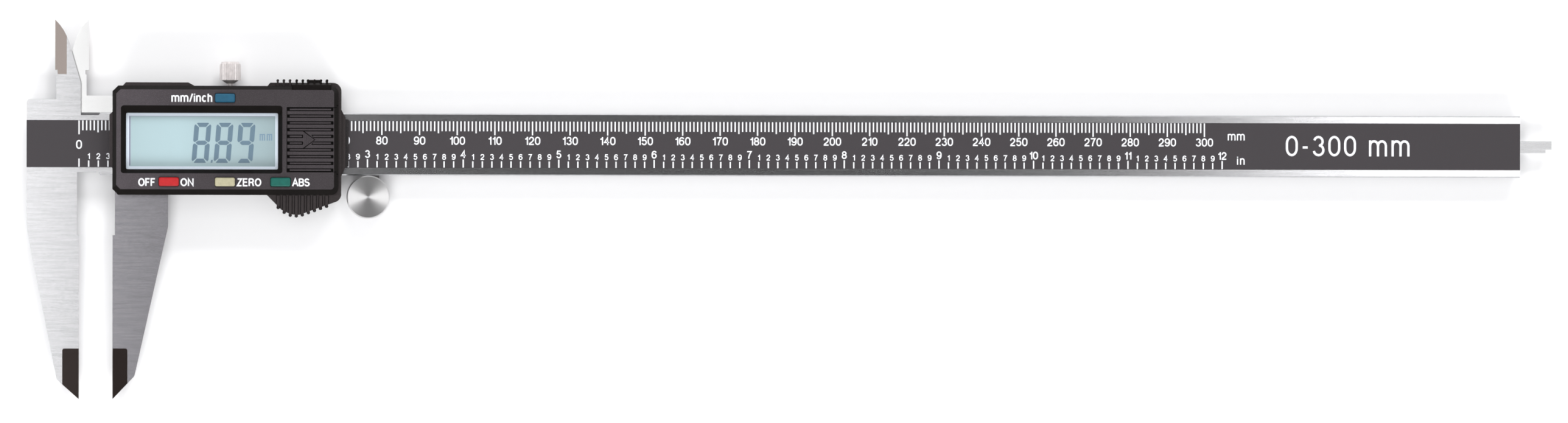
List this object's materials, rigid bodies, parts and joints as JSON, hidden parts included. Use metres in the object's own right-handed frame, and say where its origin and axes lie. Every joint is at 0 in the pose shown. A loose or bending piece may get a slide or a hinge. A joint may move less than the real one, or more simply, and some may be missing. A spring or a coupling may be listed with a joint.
{
  "type": "sliding caliper",
  "caption": "Long-jaw sliding caliper with a display housing, inside blades, depth rod, lock screw and thumb roller.",
  "frame": {"origin": "centre of the outline's bounding box, on the surface that the caliper lies on, display up", "axes": "+X along the beam to its free end, +Y towards the inside blades, +Z out of the display"},
  "size_m": [0.4082, 0.1006, 0.0145],
  "materials": {
    "beam_steel": "ground and brushed stainless steel",
    "scale_print": "dark film with white printed marks",
    "stop_steel": "sheared steel",
    "screw_steel": "turned steel",
    "slider_steel": "ground and brushed stainless steel",
    "gib_bronze": "ground bronze",
    "plate_steel": "brushed sheet",
    "rod_steel": "ground rod",
    "bracket_steel": "spring steel",
    "roller_steel": "face-turned steel",
    "housing_plastic": "textured charcoal plastic",
    "cover_plastic": "finely sparked charcoal plastic",
    "window_clear": "clear window",
    "lcd_glass": "pale cyan liquid-crystal panel",
    "elastomer": "layered elastomer strip",
    "board_laminate": "green laminate",
    "dome_rubber": "silicone",
    "wiper_felt": "dense black wiper",
    "cell_nickel": "nickel-plated can",
    "contact_metal": "plated spring leaf",
    "door_plastic": "textured charcoal plastic",
    "port_plastic": "textured charcoal plastic",
    "lock_chrome": "plated and knurled steel",
    "key_blue": "blue moulded key",
    "key_red": "red moulded key",
    "key_cream": "cream moulded key",
    "key_green": "green moulded key"
  },
  "bodies": {
    "beam": {"beam_with_fixed_jaw": "beam_steel", "beam_scale_strip": "scale_print", "end_stop_plate": "stop_steel", "end_stop_screws": "screw_steel"},
    "slider": {"slider_frame": "slider_steel", "gib_strip": "gib_bronze", "gib_set_screws": "screw_steel", "back_plate": "plate_steel", "back_plate_screws": "screw_steel", "depth_rod": "rod_steel", "depth_rod_screw": "screw_steel", "roller_bracket": "bracket_steel", "roller_axle": "screw_steel", "housing_base": "housing_plastic", "front_cover": "cover_plastic", "lcd_window": "window_clear", "lcd_panel": "lcd_glass", "lcd_connectors": "elastomer", "circuit_board": "board_laminate", "key_domes": "dome_rubber", "housing_screws": "screw_steel", "beam_wiper": "wiper_felt", "battery_cell": "cell_nickel", "battery_contact_minus": "contact_metal", "battery_contact_plus": "contact_metal", "data_port_contacts": "contact_metal"},
    "thumb_roller": {"thumb_roller": "roller_steel"},
    "lock_pad": {"lock_pad": "gib_bronze"},
    "lock_screw": {"lock_screw": "lock_chrome"},
    "battery_door": {"battery_door": "door_plastic"},
    "port_cover": {"port_cover": "port_plastic"},
    "key_mm_inch": {"key_mm_inch": "key_blue"},
    "key_power": {"key_power": "key_red"},
    "key_zero": {"key_zero": "key_cream"},
    "key_abs": {"key_abs": "key_green"}
  },
  "joints": [
    {"name": "slider_slide", "type": "slide", "parent": "beam", "child": "slider", "axis": [1, 0, 0], "range_m": [-0.00888, 0.29111]},
    {"name": "roller_turn", "type": "hinge", "parent": "slider", "child": "thumb_roller", "pos_m": [-0.11391, 0.00337, 0.004], "axis": [0, 0, 1], "continuous": true},
    {"name": "lock_pad_travel", "type": "slide", "parent": "slider", "child": "lock_pad", "axis": [0, 1, 0], "range_m": [-0.000066, 0.0006]},
    {"name": "lock_screw_turn", "type": "hinge", "parent": "lock_pad", "child": "lock_screw", "pos_m": [-0.15044, 0.03338, 0.0039], "axis": [0, 1, 0], "range_deg": [-62, 542]},
    {"name": "battery_door_slide", "type": "slide", "parent": "slider", "child": "battery_door", "axis": [1, 0, 0], "range_m": [0, 0.0155]},
    {"name": "port_cover_pull", "type": "slide", "parent": "slider", "child": "port_cover", "axis": [0, 1, 0], "range_m": [0, 0.006]},
    {"name": "key_mm_inch_press", "type": "slide", "parent": "slider", "child": "key_mm_inch", "axis": [0, 0, -1], "range_m": [0, 0.0004], "stiffness_N_per_m": 900, "springref_m": -0.0004},
    {"name": "key_power_press", "type": "slide", "parent": "slider", "child": "key_power", "axis": [0, 0, -1], "range_m": [0, 0.0004], "stiffness_N_per_m": 900, "springref_m": -0.0004},
    {"name": "key_zero_press", "type": "slide", "parent": "slider", "child": "key_zero", "axis": [0, 0, -1], "range_m": [0, 0.0004], "stiffness_N_per_m": 900, "springref_m": -0.0004},
    {"name": "key_abs_press", "type": "slide", "parent": "slider", "child": "key_abs", "axis": [0, 0, -1], "range_m": [0, 0.0004], "stiffness_N_per_m": 900, "springref_m": -0.0004}
  ],
  "couplings": [
    {"joint": "roller_turn", "follows": "slider_slide", "rad_per_m": 173.91},
    {"joint": "lock_screw_turn", "follows": "lock_pad_travel", "rad_per_m": 15708}
  ]
}
